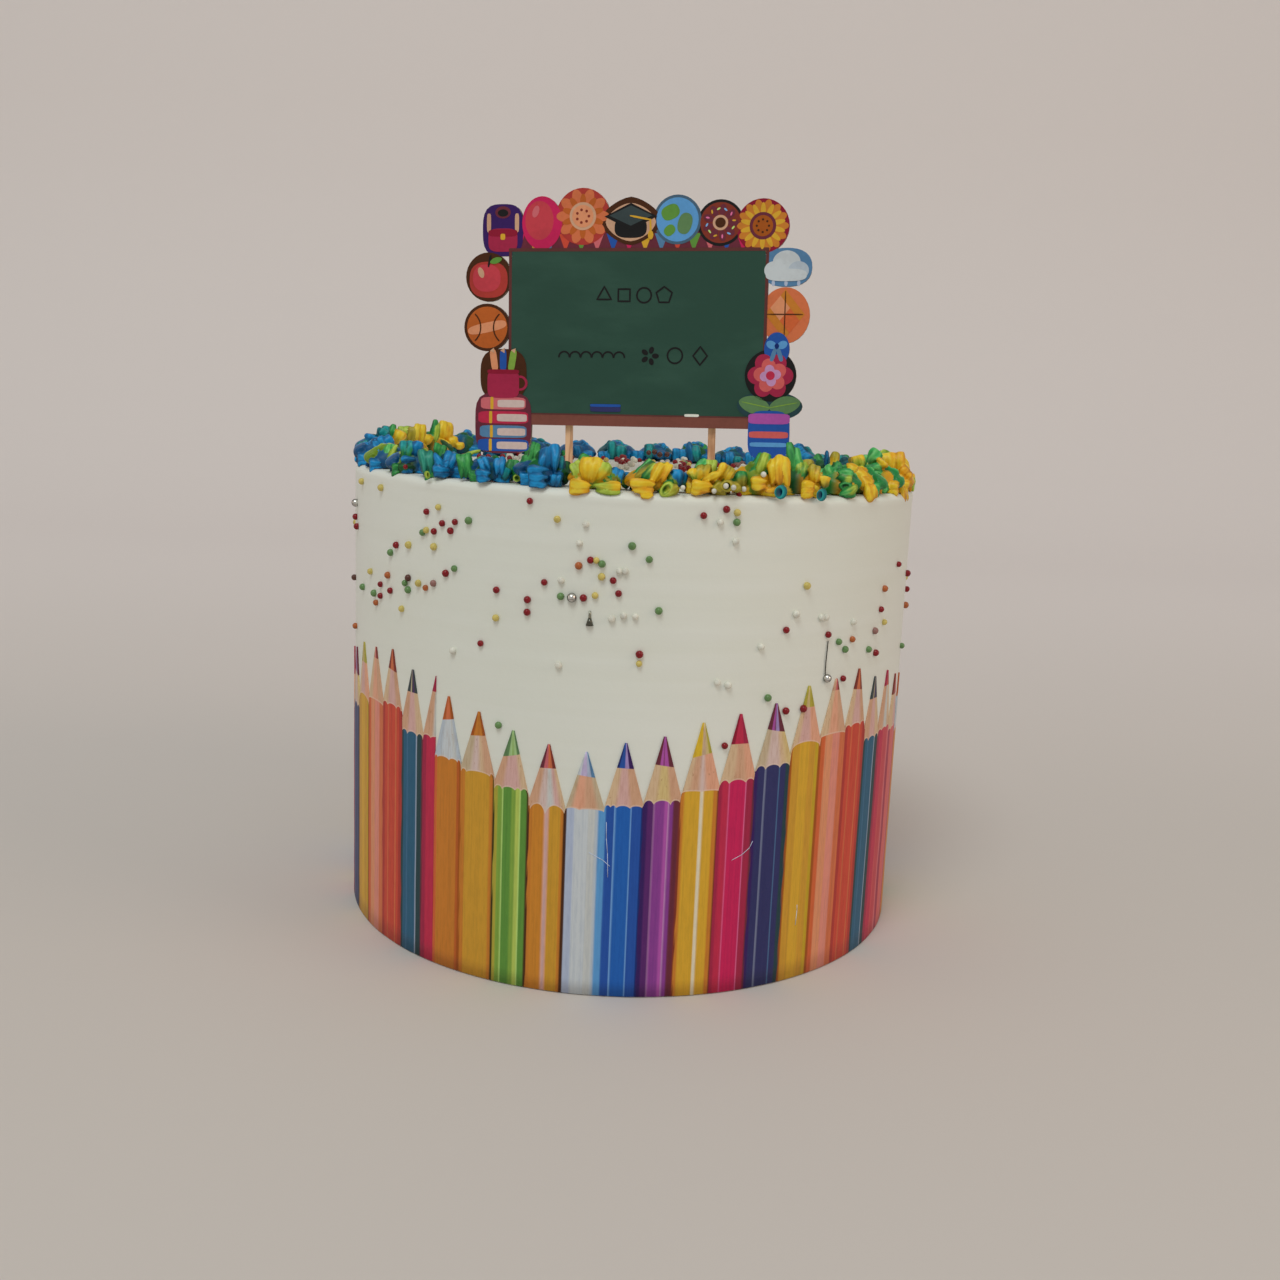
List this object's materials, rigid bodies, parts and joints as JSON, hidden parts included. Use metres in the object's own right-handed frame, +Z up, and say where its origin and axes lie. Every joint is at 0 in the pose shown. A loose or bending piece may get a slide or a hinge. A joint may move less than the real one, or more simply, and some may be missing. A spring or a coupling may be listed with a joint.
{
  "type": "celebration cake",
  "caption": "Tall round celebration cake in white icing with an edible pencil-print wrap, a ring of coloured piped swirls, sugar pearls and a chalkboard card topper.",
  "frame": {"origin": "centre of the cake's flat underside", "axes": "+Z up, -Y towards the front that the card faces, +X to its right"},
  "size_m": [0.2114, 0.2112, 0.266],
  "materials": {
    "icing": "smooth satin white icing",
    "printed_sheet": "edible paper with fields of printed colour, slightly satin",
    "piped_icing": "satin whipped icing in blended colours",
    "card": "printed card, satin, dark cut edge",
    "stick": "plain light wood",
    "pearls": "glossy sugar pearls in several colours",
    "silver_beads": "silver sugar beads"
  },
  "bodies": {
    "root": {"cake_body": "icing", "sheet_front": "printed_sheet", "sheet_right": "printed_sheet", "sheet_back": "printed_sheet", "sheet_left": "printed_sheet", "swirl_01": "piped_icing", "swirl_02": "piped_icing", "swirl_03": "piped_icing", "swirl_04": "piped_icing", "swirl_05": "piped_icing", "swirl_06": "piped_icing", "swirl_07": "piped_icing", "swirl_08": "piped_icing", "swirl_09": "piped_icing", "swirl_10": "piped_icing", "swirl_11": "piped_icing", "swirl_12": "piped_icing", "swirl_13": "piped_icing", "swirl_14": "piped_icing", "swirl_15": "piped_icing", "swirl_16": "piped_icing", "swirl_17": "piped_icing", "swirl_18": "piped_icing", "swirl_19": "piped_icing", "swirl_20": "piped_icing", "swirl_21": "piped_icing", "swirl_22": "piped_icing", "swirl_23": "piped_icing", "swirl_24": "piped_icing", "swirl_25": "piped_icing", "swirl_26": "piped_icing", "swirl_27": "piped_icing", "swirl_28": "piped_icing", "swirl_29": "piped_icing", "swirl_30": "piped_icing", "swirl_31": "piped_icing", "swirl_32": "piped_icing", "swirl_33": "piped_icing", "swirl_34": "piped_icing", "swirl_35": "piped_icing", "topper_card": "card", "topper_stick_left": "stick", "topper_stick_right": "stick"}
  },
  "joints": []
}
